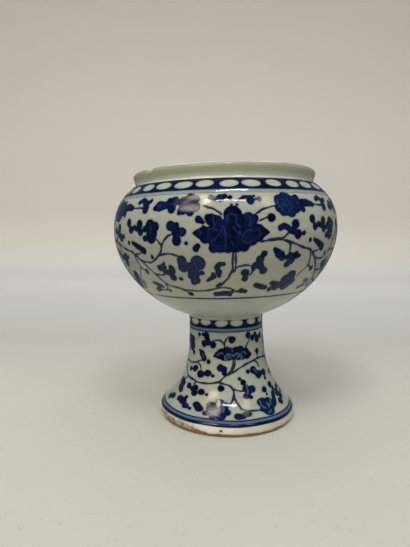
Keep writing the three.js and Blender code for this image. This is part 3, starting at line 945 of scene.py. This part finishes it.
def cobalt_painting(brush, fray, wobbled, lines, veins):
    """The cobalt under the glaze: washes whose tone deepens where it clouds and at the strokes'
    edges, lines as dark as the brush was full, and pale veins on the washes. Distances are
    frayed a little. Returns how much of it lies there, its colour, and a faint bleed."""
    look = bpy.context.scene.bowl_glaze
    wash = brush.scaled(fray, 0.16, brush.minus(brush.attribute("wash", "Fac"), 0.14))
    vine, half = brush.phase("vine")
    line = brush.minus(brush.magnitude(vine), brush.magnitude(half))
    line = brush.scaled(fray, 0.1, brush.minus(line, 0.17))
    bleed = brush.most(brush.ramp(wash, 1.1, 0.0), brush.ramp(line, 0.8, 0.0))
    line = brush.ramp(line, 0.16, -0.16)
    is_vein = brush.ramp(half, 0.03, -0.03)
    stem = brush.times(line, brush.minus(1.0, is_vein))
    vein = brush.times(line, is_vein, brush.ramp(wash, -0.1, -0.5))
    petal, tone = brush.phase("petal")
    edge = brush.near(petal, -0.42, 0.3, 0.22)
    rim = brush.times(brush.near(petal, 0.26, 0.16, 0.14), brush.ramp(wash, -0.35, -0.75))
    heap = brush.cloud(5, 3, 0.38, 0.66)
    shade = brush.scaled(heap, 0.34, brush.minus(tone, 0.2))
    shade = brush.scaled(rim, -0.42, brush.most(shade, brush.times(edge, 0.95)))
    shade = brush.most(shade, brush.times(stem, 0.8))
    ink = brush.most(brush.ramp(wash, 0.2, -0.2), brush.times(stem, 0.95))
    for level, reach, ring_tone in lines:
        ring = brush.near(wobbled, level, reach, 0.2)
        shade = brush.most(shade, brush.times(ring, ring_tone))
        ink = brush.most(ink, brush.times(ring, min(1.0, 0.5 + ring_tone)))
    shade = brush.maths("MINIMUM", brush.most(shade, 0.0), 1.0)
    cobalt = brush.mix(shade, look.cobalt_wash, look.cobalt_dark)
    return ink, brush.tinted(cobalt, look.cobalt_pale, vein, veins), bleed


def glaze_colour(brush, turn, along, pools, thin_glaze_and_highlight, olive_shade):
    """Bare glaze: greenish grey, clouded, darker and bluer where it pools, with painted shade
    round the belly's middle and painted light under the bowl. It is whiter between two levels,
    thin glaze that on the bowl is a painted highlight ring, painted lighter at the front left,
    and olive between two others as painted shade, with creamy patches and a few specks."""
    look = bpy.context.scene.bowl_glaze
    colour = look.glaze
    for cloud, tone in (
            ((34, 2, 0.3, 0.7), shaded(look.glaze, 0.93, 0.98, 1.09)),
            ((22, 2, 0.5, 0.72, 0.7), shaded(look.glaze, 1.08, 1.0, 0.86)),
            ((3.5, 3, 0.35, 0.75, 0.2), look.glaze_pool),
            ((14, 3, 0.45, 0.7, 0.2, (1.0, 1.0, 7.0)), shaded(look.glaze_pool, 0.72))):
        colour = brush.mix(brush.cloud(*cloud), colour, tone)
    # A whiter band: thin glaze, and on the bowl a painted highlight ring at the foot of the
    # collar, both painted lighter at the front, a little to the left, where the light falls
    white = brush.within(along, *thin_glaze_and_highlight, 0.8)
    front = brush.scaled(brush.near(turn, 0.45, 0.08, 0.09), 0.55, 0.38)
    colour = brush.tinted(colour, WHITE_GLAZE_AND_HIGHLIGHT, white, front)
    # Pool tones: glaze lying thick, painted shade round the belly's middle and painted light
    # under the bowl
    tones = {"deep": look.glaze_pool, "dull": look.glaze_painted_shade, "clear": look.glaze_painted_light}
    for level, reach, strength, tone in pools:
        pool = brush.near(along, level, reach * 0.5, reach * 0.5)
        colour = brush.tinted(colour, tones[tone], pool, strength)
    # Painted shade: the collar and the lip below its top darkened to olive
    if olive_shade:
        colour = brush.tinted(colour, OLIVE_SHADE, brush.within(along, *olive_shade, 0.8), 0.65)
    return brush.tinted(colour, IRON_SPECK, brush.specks(9, 0.38, 0.1), 0.75)


def bare_ring(brush, turn, along, colour, rough):
    """The ring that the foot stands on: clay left bare up to an uneven edge with a rusty blush
    above it, which is also a painted warm glow of light bounced off the clay, worn higher on the
    left where buff, brown and black lie mixed, and one pit near the front. Returns the colour and
    the roughness with the clay in place."""
    look = bpy.context.scene.bowl_glaze
    wear = brush.near(turn, WORN_SHARE, 0.068, 0.03)
    edge = brush.scaled(wear, 2.7, brush.scaled(brush.noise(5, 4), 3.6, 0.55))
    depth = brush.minus(along, edge)
    pit = brush.times(brush.near(turn, PIT_SHARE, 0.0036, 0.0016),
                      brush.near(along, 4.3, 0.65, 0.35))
    bare = brush.most(brush.ramp(depth, 0.2, -0.2), brush.ramp(along, -0.6, -1.2), pit)
    burnt = brush.times(brush.near(depth, -0.15, 0.3, 0.3), brush.cloud(3.0, 2, 0.42, 0.62))
    burnt = brush.most(brush.times(burnt, 0.85), pit)
    grain = brush.cloud(0.8, 3, 0.3, 0.7)
    clay = brush.mix(grain, shaded(look.clay, 0.75), look.clay)
    buff = brush.cloud(2.6, 4, 0.4, 0.56)
    clay = brush.tinted(clay, BUFF_CLAY, buff, wear, brush.ramp(along, 1.6, 3.2))
    clay = brush.tinted(clay, BLACK_SPECK, brush.cloud(1.1, 3, 0.6, 0.68), wear, 0.8)
    clay = brush.mix(burnt, clay, BURNT_EDGE)
    stain = brush.times(brush.cloud(2.4, 4, 0.5, 0.66), brush.near(depth, 0.6, 0.9, 1.2),
                        brush.scaled(wear, 0.7, 0.1))
    # Rusty blush above the bare edge, also a painted warm glow of light bounced off the clay
    colour = brush.tinted(colour, RUST_BLUSH_AND_GLOW, brush.ramp(depth, 2.2, 0.0), 0.45)
    colour = brush.mix(bare, brush.mix(stain, colour, DARK_STAIN), clay)
    return colour, brush.most(rough, brush.times(bare, 0.85))


def broken_lip(brush, turn, along, level, colour, rough):
    """The broken face of the nick in the lip, with a torn edge: returns the colour and the
    roughness with it in place."""
    away = brush.most(brush.magnitude(brush.times(brush.minus(turn, NICK_SHARE), LIP_ROUND)),
                      brush.magnitude(brush.minus(along, level)))
    torn = brush.scaled(brush.noise(2.2, 4), -6.0, brush.plus(away, 3.4))
    chip = brush.ramp(torn, 2.7, 2.3)
    face = brush.mix(brush.cloud(0.9, 3, 0.4, 0.6), *BROKEN_CLAY)
    return brush.mix(chip, colour, face), brush.most(rough, brush.times(chip, 0.7))


def finish_glaze(brush, colour, rough):
    """Glossy glass over the colour: low swells left by the brush and a fine orange peel."""
    links, inputs = brush.links, brush.shader.inputs
    links.new(colour, inputs["Base Color"])
    links.new(rough, inputs["Roughness"])
    inputs["IOR"].default_value = 1.45
    inputs["Specular IOR Level"].default_value = 0.28
    swell = brush.times(brush.noise(9, 2), 0.65)
    peel = brush.times(brush.noise(1.1, 2), 0.12)
    bump = brush.nodes.new("ShaderNodeBump")
    bump.inputs["Strength"].default_value = 1.0
    bump.inputs["Distance"].default_value = SWELL_DEPTH
    links.new(brush.plus(swell, peel), bump.inputs["Height"])
    links.new(bump.outputs[0], inputs["Normal"])


def slip_finish(name):
    """Slip under the glaze at the joint: pale, with a bluish pool of glaze and fine pits."""
    look = bpy.context.scene.bowl_glaze
    brush = Brush(name)
    cloud = brush.cloud(3, 3, 0.3, 0.7)
    colour = brush.mix(cloud, look.glaze_pool, shaded(look.glaze, 0.8))
    colour = brush.tinted(colour, SLIP_PIT, brush.specks(2.5, 0.2, 0.15), 0.6)
    finish_glaze(brush, colour, brush.scaled(cloud, 0.1, 0.12))
    return brush.material


def place_at(path, along, height, start, end):
    """The distance along an outline at which it reaches a height, between two distances."""
    span = (along >= start) & (along <= end)
    return float(np.interp(height, path[span, 1], along[span]))


def settle(piece, node, material):
    """Finishes a piece: its material, the body it rides on and the CAD node it stands for."""
    piece.data.materials.append(material)
    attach(piece, "root")
    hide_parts(node)


LOWER_LINE = 80.4   # height of the line under the painting on the belly, mm
BELLY_COLUMNS, FOOT_COLUMNS = 620, 400      # points round a painted row; the others have half
SLIP_COLUMNS, SLIP_ROWS = 240, 40
# Slow waves round the thrown bowl: size as a share of the radius, number and phase
BELLY_WAVES = ((0.0022, 2, 0.7), (0.0014, 3, 2.2))
RING_WAVE = 0.00025         # the faint rings that the thrower's fingers left, as a share
LIP_RIPPLE, LIP_DECAY = 0.22, 9         # mm that the lip rises and falls, and its reach


class FOOTEDBOWL_OT_bowl(bpy.types.Operator):
    """Turn, paint and glaze the bowl"""
    bl_idname = "footed_bowl.bowl"
    bl_label = "Bowl"

    def execute(self, context):
        form = context.scene.bowl_form
        path, along = bowl_path(form)
        zero = place_at(path, along, LOWER_LINE, 26, 80)
        lip = along[path[:, 1].argmax()]
        edge = form.base_radius
        # Rows by their distance along the outline in mm, closer where it turns sharply
        below = np.concatenate([[0], np.linspace(8, edge - 1.2, 3),
                                np.linspace(edge - 0.8, edge + 0.8, 6),
                                np.linspace(edge + 1.6, zero - 2.2, 11)])
        painted = np.linspace(zero - 1.3, zero + 72.5, 115)
        collar = np.linspace(painted[-1] + 0.6, lip + 4.2, 19)
        inside = np.append(np.linspace(lip + 5.4, along[-1] - 4, 27), along[-1])
        piece, place = turned_surface(
            "bowl_body", form, path, along, np.concatenate([below, painted, collar, inside]),
            np.repeat([BELLY_COLUMNS // 2, BELLY_COLUMNS, BELLY_COLUMNS // 2],
                      [len(below), len(painted) + len(collar), len(inside)]),
            shape=self.thrown(zero, lip))
        painting = Painting(BELLY_COLUMNS, painted - zero, BELLY_REACH)
        painting.scroll(BELLY_REPEATS, BELLY_VINES, BELLY_LEAVES, BELLY_VEINS)
        painting.ovals(32, 66.8, 5.35, 2.65, 4.1, 0.0)
        painting.store(piece.data, place, painted[0])
        settle(piece, "bowl", painted_glaze(
            "bowl_glaze", along[-1], zero,
            lines=((0.0, 0.55, 0.9), (60.4, 0.22, 0.2), (62.9, 0.45, 0.9), (70.9, 0.5, 0.95)),
            bands=((0.1, 1.2, 0.3), (61.7, 0.9, 0.45)),
            # Painted shade round the belly's middle, painted light under the bowl, and glaze
            # lying thick at the lower line, the collar's foot and the underside's edge
            pools=((24.0, 42.0, 0.5, "dull"), (-1.5, 3.0, 0.3, "deep"),
                   (-14.0, 24.0, 0.9, "clear"), (73.3, 1.6, 0.15, "deep"),
                   (-26.0, 3.0, 0.45, "deep")),
            # A whiter ring at the foot of the collar that is a painted highlight, and painted
            # olive shade on the collar and lip
            veins=0.12, thin_glaze_and_highlight=(71.8, 72.9), olive_shade=(75.2, 80.8), nick=lip - zero - 1.0))
        return {"FINISHED"}

    @staticmethod
    def thrown(zero, lip):
        """The unevenness of a thrown bowl, none of it near the foot: radius times 1 plus slow
        waves round it that grow with the square of the radius, faint rings up it, a lip that
        rises and falls, and one nick in the lip whose depth falls off as a bell curve."""
        def shape(points, turn, place):
            radius = np.hypot(points[:, 0], points[:, 1])
            wave = sum(size * np.sin(n * turn + phase) for size, n, phase in BELLY_WAVES)
            wave = wave * (radius / BELLY_REACH) ** 2 + RING_WAVE * np.sin((place - zero) * 0.8)
            wave = wave * np.clip((place - 26) / 8, 0, 1)
            across = (turn - NICK_TURN) * LIP_RADIUS / NICK_HALF
            nick = np.exp(-across ** 4 - ((place - lip + 0.8) / 1.6) ** 2)
            ripple = (LIP_RIPPLE * np.sin(2 * turn + 1.2)
                      * np.exp(-((place - lip) / LIP_DECAY) ** 2))
            spread = 1 + wave - nick * NICK_INSET
            out = points * np.stack([spread, spread, np.ones_like(wave)], 1)
            out[:, 2] += ripple - NICK_DEPTH * nick
            return out
        return shape


class FOOTEDBOWL_OT_foot(bpy.types.Operator):
    """Turn, paint and glaze the pedestal foot"""
    bl_idname = "footed_bowl.foot"
    bl_label = "Foot"

    def execute(self, context):
        form = context.scene.bowl_form
        path, along = foot_path(form)
        zero = CONTACT_WIDTH
        # Rows by their distance along the outline in mm, as for the bowl
        under = [0, 1.4, 2.4, zero]
        painted = np.linspace(zero + 0.4, zero + 69.4, 139)
        top = painted[-1]
        inside = np.append(np.linspace(top + 0.4, top + 2.2, 5),
                           np.linspace(top + 3.4, along[-1] - 0.8, 30))
        piece, place = turned_surface(
            "foot_body", form, path, along, np.concatenate([under, painted, inside]),
            np.repeat([FOOT_COLUMNS // 2, FOOT_COLUMNS, FOOT_COLUMNS // 2],
                      [len(under), len(painted), len(inside)]),
            closed=True, shape=self.worn)
        painting = Painting(FOOT_COLUMNS, painted - zero, FOOT_REACH)
        painting.scroll(FOOT_REPEATS, FOOT_VINES, FOOT_LEAVES, FOOT_VEINS)
        painting.ovals(15, 67.4, 4.1, 2.1, 2.95, -4.2)
        painting.store(piece.data, place, painted[0])
        settle(piece, "foot", painted_glaze(
            "foot_glaze", along[-1], zero,
            lines=((7.5, 1.0, 0.55), (10.4, 0.4, 0.7), (61.9, 0.35, 0.6), (64.3, 0.5, 0.9),
                   (70.4, 0.6, 0.95)),
            bands=((8.9, 1.4, 0.95), (63.1, 1.1, 0.85)),
            pools=((10.8, 1.4, 0.35, "deep"), (61.0, 1.2, 0.3, "deep")),
            # The hem's thin white glaze, painted lighter at the front left where the light falls
            veins=0.8, thin_glaze_and_highlight=(1.2, 6.6), clay=True))
        return {"FINISHED"}

    @staticmethod
    def worn(points, turn, place):
        """Chips in the foot ring: shallow bell-shaped hollows at a few turns and levels."""
        radius = np.hypot(points[:, 0], points[:, 1])
        cut = np.zeros(len(points))
        for chip_turn, level, wide, deep in FOOT_CHIPS:
            away = np.hypot((turn - chip_turn) * CHIP_RADIUS, (place - level) * 1.3)
            cut += deep * np.exp(-(away / wide) ** 2)
        shrink = 1 - cut / np.maximum(radius, 1)
        return points * np.stack([shrink, shrink, np.ones_like(shrink)], 1)


class FOOTEDBOWL_OT_slip(bpy.types.Operator):
    """Make the ring of slip that joins the bowl to its foot"""
    bl_idname = "footed_bowl.slip"
    bl_label = "Luting slip"

    def execute(self, context):
        form = context.scene.bowl_form
        path, along = slip_path(form)
        rows = np.linspace(0, along[-1], SLIP_ROWS, endpoint=False)
        piece, _ = turned_surface("slip_ring", form, path, along, rows,
                                  np.full(SLIP_ROWS, SLIP_COLUMNS), closed=True)
        settle(piece, "luting_slip", slip_finish("slip_glaze"))
        return {"FINISHED"}


WARM = (1.0, 0.82, 0.53)
# The lamps round the bowl: name, turn and rise in degrees, distance, width and depth in
# metres, watts, colour and shape. The soft ones are square and only light. The others stand
# for the room that the glaze mirrors and only show there, nested where an edge is soft.
ROOM = (
    ("canopy", 0, 80, 1.7, 2.0, 2.0, 12.0, (1.0, 0.985, 0.95), "SQUARE"),
    ("key_left", -26, 50, 1.8, 0.5, 0.5, 11.0, (1.0, 0.95, 0.86), "SQUARE"),
    ("key_right", 18, 57, 1.8, 0.5, 0.5, 5.4, (0.97, 0.98, 1.0), "SQUARE"),
    ("fill", -4, 12, 1.6, 0.6, 0.6, 2.4, (1.0, 0.98, 0.94), "SQUARE"),
    ("strip", 3, 50, 1.2, 0.5, 0.03, 3.6, (1.0, 0.98, 0.95), "RECTANGLE"),
    ("high_strip", 10, 75, 1.2, 0.46, 0.026, 3.0, (0.95, 0.98, 1.0), "RECTANGLE"),
    ("warm_high", -38, 56, 1.2, 0.54, 0.31, 1.6, WARM, "ELLIPSE"),
    ("warm_high_middle", -38, 56.5, 1.21, 0.46, 0.24, 1.2, WARM, "ELLIPSE"),
    ("warm_high_core", -37, 57, 1.22, 0.36, 0.17, 0.8, WARM, "ELLIPSE"),
    ("warm_low", -38, 34.5, 1.2, 0.52, 0.31, 1.5, WARM, "ELLIPSE"),
    ("warm_low_middle", -38, 34, 1.21, 0.42, 0.24, 1.0, WARM, "ELLIPSE"),
    ("warm_low_core", -37, 34, 1.22, 0.32, 0.16, 0.6, WARM, "ELLIPSE"),
    ("warm_haze", -40, 45, 1.3, 0.84, 0.9, 2.6, WARM, "ELLIPSE"),
    ("warm_east", -27, 45.5, 1.2, 0.14, 0.3, 0.5, WARM, "ELLIPSE"),
    ("warm_west", -49, 45.5, 1.2, 0.14, 0.3, 0.4, WARM, "ELLIPSE"),
    ("rim_light", 180, 42, 1.3, 0.7, 0.4, 5.0, (1.0, 0.98, 0.93), "RECTANGLE"),
    ("warm_spot", -25, 47, 1.19, 0.14, 0.24, 1.8, (1.0, 0.94, 0.84), "ELLIPSE"),
    ("right_haze", 45, 46, 1.2, 0.34, 0.52, 1.4, WARM, "ELLIPSE"),
    ("right_core", 45, 46, 1.21, 0.22, 0.36, 0.8, WARM, "ELLIPSE"),
)
# Lamps that light the backdrop: name, place in metres, turn in degrees and watts
WASHES = (("wash_back", (0, 0.3), 0, 1.9), ("wash_left", (-1.45, -0.5), 90, 3.0),
          ("wash_front", (0, -1.45), 180, 6.0), ("wash_right", (1.45, -0.5), -90, 2.6))
WASH_SIZE, WASH_LEVEL, WASH_TILT = (1.5, 0.3), 0.42, math.radians(76)
WASH_COLOUR = (1.0, 0.95, 0.88)
SKY_COLOUR = (0.13, 0.142, 0.152, 1)
LAMP_MIDDLE = Vector((0, 0, 0.08))      # what the room's lamps point at
# The fitted camera's focal length and the picture's longer side, both in pixels
FOCAL, PICTURE_HEIGHT = 460, 547
CAMERA_PLACE = (-15.2 * MM, -290.5 * MM, 115.0 * MM)
CAMERA_PITCH, CAMERA_ROLL = 5.136, 0.8  # degrees down and to the side
STEPS = 96                              # points round the backdrop
WALL_WIDE, WALL_DEEP, WALL_BACK = 2.4, 1.775, 0.625
MIRRORED_RADIUS = 0.2                   # the round of table that the glaze mirrors
# The curve from the table up to the wall, as (distance inside the wall, height), in metres
COVE = ((0.27, 0.0), (0.2, 0.004), (0.14, 0.02), (0.08, 0.055), (0.035, 0.115), (0.008, 0.19),
        (0.0, 0.28), (0.0, 1.9))


def area_lamp(name, shape, size, power, colour):
    """A lamp that the camera doesn't see."""
    light = bpy.data.lights.new(name, "AREA")
    light.shape, light.energy, light.color = shape, power, colour
    light.size, light.size_y = size
    lamp = bpy.data.objects.new(name, light)
    bpy.context.scene.collection.objects.link(lamp)
    lamp.visible_camera = False
    return lamp


class FOOTEDBOWL_OT_stage(bpy.types.Operator):
    """Make the floor, the lights and the camera"""
    bl_idname = "footed_bowl.stage"
    bl_label = "Stage"

    def execute(self, context):
        scene = context.scene
        self.floor(scene)
        for name, turn, rise, away, width, depth, power, colour, shape in ROOM:
            turn, rise = math.radians(turn), math.radians(rise)
            aim = Vector((math.sin(turn) * math.cos(rise), -math.cos(turn) * math.cos(rise),
                          math.sin(rise)))
            lamp = area_lamp(name, shape, (width, depth), power, colour)
            lamp.location = aim * away + LAMP_MIDDLE
            lamp.rotation_euler = aim.to_track_quat("Z", "Y").to_euler()
            lamp.visible_glossy = shape != "SQUARE"
            lamp.visible_diffuse = shape == "SQUARE"
        for name, place, turn, power in WASHES:
            lamp = area_lamp(name, "RECTANGLE", WASH_SIZE, power, WASH_COLOUR)
            lamp.location = (*place, WASH_LEVEL)
            lamp.rotation_euler = (WASH_TILT, 0, math.radians(turn))
            lamp.visible_glossy = False
        world = bpy.data.worlds.new("studio")
        world.use_nodes = True
        sky = world.node_tree.nodes["Background"]
        sky.inputs[0].default_value = SKY_COLOUR
        sky.inputs[1].default_value = 1.0
        scene.world = world
        camera = bpy.data.cameras.new("camera")
        camera.sensor_width = 36
        camera.lens = FOCAL * camera.sensor_width / PICTURE_HEIGHT
        scene.camera = bpy.data.objects.new("camera", camera)
        scene.collection.objects.link(scene.camera)
        scene.camera.location = CAMERA_PLACE
        pitched = Matrix.Rotation(math.radians(90 - CAMERA_PITCH), 3, "X")
        rolled = Matrix.Rotation(math.radians(CAMERA_ROLL), 3, "Z")
        scene.camera.rotation_euler = (pitched @ rolled).to_euler()
        scene.view_settings.view_transform = "Standard"
        return {"FINISHED"}

    def floor(self, scene):
        """A pale tabletop, and a backdrop that it sweeps up into all round. The backdrop's wall
        stands on an ellipse, nearer behind the bowl than in front: at turn t round the middle
        of the ellipse, x = WALL_WIDE sin t and y = WALL_DEEP cos t - WALL_BACK, and each ring
        keeps a distance inside it. The glaze mirrors the round of table under the bowl and a
        dark room beyond it."""
        turn = np.linspace(0, FULL_TURN, STEPS, endpoint=False)
        sin, cos = np.sin(turn), np.cos(turn)
        wall = np.stack([WALL_WIDE * sin, WALL_DEEP * cos - WALL_BACK], 1)
        normal = np.stack([WALL_DEEP * sin, WALL_WIDE * cos], 1)
        normal /= np.hypot(*normal.T)[:, None]
        edge = (MIRRORED_RADIUS * np.stack([sin, cos], 1), 0.0)
        rings = [edge] + [(wall - inset * normal, height) for inset, height in COVE]
        paint = self.paper()
        for name, parts in (("floor", [edge]), ("backdrop", rings)):
            points = [(x, y, height) for ring, height in parts for x, y in ring]
            faces = [tuple(range(STEPS - 1, -1, -1))] if name == "floor" else []
            for low in range(0, len(points) - STEPS, STEPS):
                faces += [(low + k, low + (k + 1) % STEPS, low + STEPS + (k + 1) % STEPS,
                           low + STEPS + k) for k in range(STEPS)]
            mesh = bpy.data.meshes.new(name)
            mesh.from_pydata(points, [], faces)
            mesh.polygons.foreach_set("use_smooth", np.full(len(faces), name != "floor"))
            mesh.materials.append(paint)
            thing = bpy.data.objects.new(name, mesh)
            scene.collection.objects.link(thing)
            thing.visible_glossy = name == "floor"

    @staticmethod
    def paper():
        """Pale paper with painted shade and light: the table is darker and cooler behind the bowl
        and lighter again further back, and the backdrop is darker and warmer up high and lighter
        low down. A few faint marks and specks lie on the table."""
        brush = Brush("paper_light_and_shade")
        _, y, z = brush.split(brush.place)
        table = brush.mix(brush.noise(60, 2), (0.618, 0.613, 0.570), (0.648, 0.643, 0.60))
        paper = brush.mix(brush.noise(300, 2), (0.60, 0.57, 0.525), (0.63, 0.605, 0.56))
        for share, tone in (
                # Painted shade: the table darker and cooler behind the bowl
                (brush.ramp(y, 0.0, 0.35), (0.54, 0.56, 0.56)),
                # Painted light: the table lighter again further back, towards the backdrop
                (brush.ramp(y, 0.42, 0.8), (0.70, 0.72, 0.73)),
                (brush.cloud(9, 4, 0.62, 0.72, 0.10, (1.0, 2.6, 1.0)), (0.34, 0.34, 0.33)),
                (brush.cloud(3, 2, 0.66, 0.74, 0.35), (0.36, 0.35, 0.32))):
            table = brush.mix(share, table, tone)
        # Painted shade: the backdrop darker and warmer up high
        for share, tone in ((brush.ramp(z, 0.3, 0.8), (0.53, 0.50, 0.455)),
                            # Painted light: the backdrop lighter low down, where it curves into
                            # the table
                            (brush.ramp(z, 0.18, 0.05), (0.69, 0.665, 0.62))):
            paper = brush.mix(share, paper, tone)
        brush.links.new(brush.mix(brush.ramp(z, 0.0, 0.08), table, paper),
                        brush.shader.inputs["Base Color"])
        brush.shader.inputs["Roughness"].default_value = 0.9
        return brush.material


class FOOTEDBOWL_PT_panel(bpy.types.Panel):
    """Lists the sizes, the colours and the pieces"""
    bl_label = "Footed Bowl"
    bl_idname = "FOOTEDBOWL_PT_panel"
    bl_space_type = "VIEW_3D"
    bl_region_type = "UI"
    bl_category = "Footed Bowl"

    def draw(self, context):
        for group in (context.scene.bowl_form, context.scene.bowl_glaze):
            for name in group.__annotations__:
                self.layout.prop(group, name)
        for operator in OPERATORS:
            self.layout.operator(operator.bl_idname)


OPERATORS = (FOOTEDBOWL_OT_bowl, FOOTEDBOWL_OT_slip, FOOTEDBOWL_OT_foot, FOOTEDBOWL_OT_stage)
CLASSES = (BowlForm, BowlGlaze, *OPERATORS, FOOTEDBOWL_PT_panel)


def register():
    for cls in CLASSES:
        bpy.utils.register_class(cls)
    bpy.types.Scene.bowl_form = bpy.props.PointerProperty(type=BowlForm)
    bpy.types.Scene.bowl_glaze = bpy.props.PointerProperty(type=BowlGlaze)


def unregister():
    del bpy.types.Scene.bowl_form
    del bpy.types.Scene.bowl_glaze
    for cls in reversed(CLASSES):
        bpy.utils.unregister_class(cls)


def main():
    register()
    bpy.ops.footed_bowl.bowl()
    bpy.ops.footed_bowl.slip()
    bpy.ops.footed_bowl.foot()
    bpy.ops.footed_bowl.stage()


if __name__ == "__main__":
    main()
